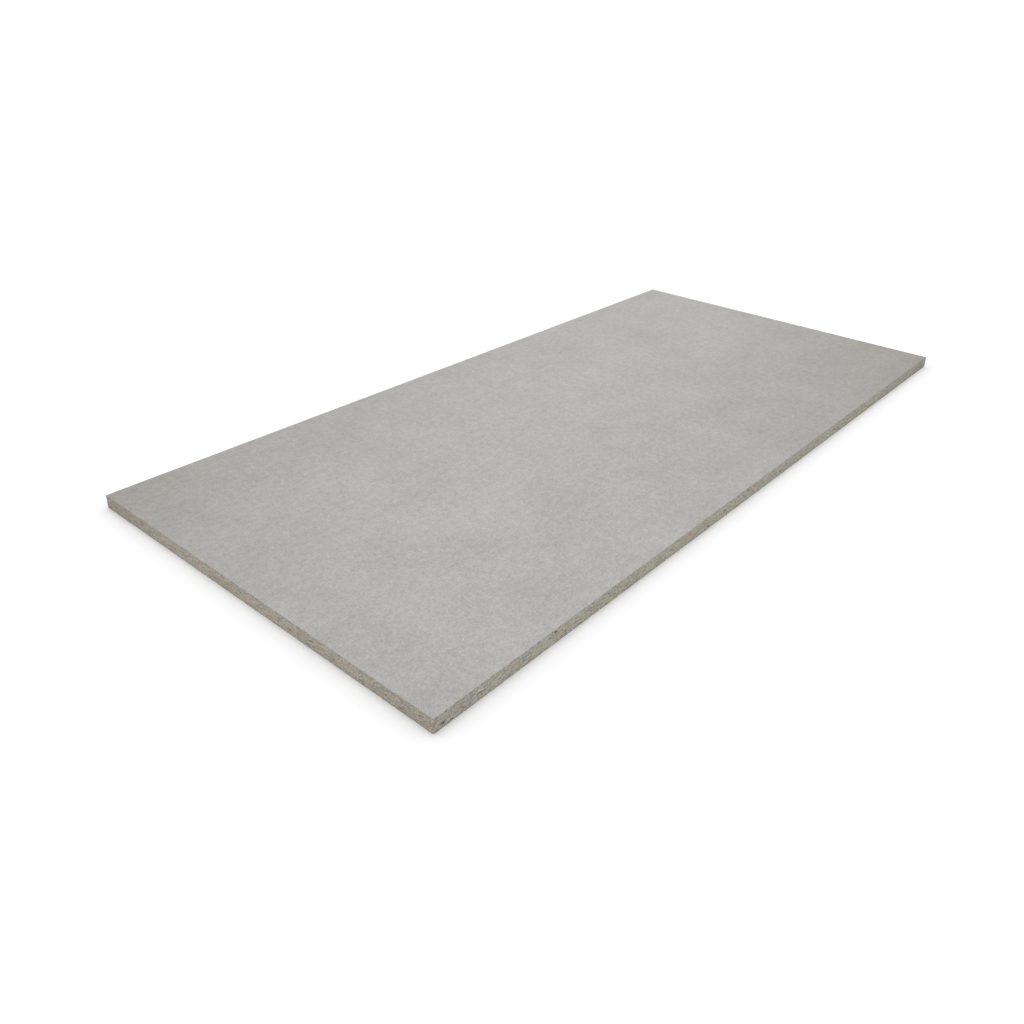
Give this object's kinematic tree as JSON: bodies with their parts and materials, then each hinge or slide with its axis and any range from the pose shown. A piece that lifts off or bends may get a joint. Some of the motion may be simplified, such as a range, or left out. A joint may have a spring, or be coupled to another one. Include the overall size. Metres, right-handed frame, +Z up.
{
  "type": "cement board",
  "caption": "Rectangular sheet of cement-bonded wood particle board with flat cement-grey pressed faces and square sawn edges that show the chips.",
  "frame": {"origin": "centre of the underside, on the surface that the sheet lies on", "axes": "+X along the length, +Y along the width, +Z up out of the upper pressed face"},
  "size_m": [1.25, 0.6, 0.018],
  "materials": {
    "cement_board": "matte"
  },
  "bodies": {
    "root": {"board": "cement_board"}
  },
  "joints": []
}
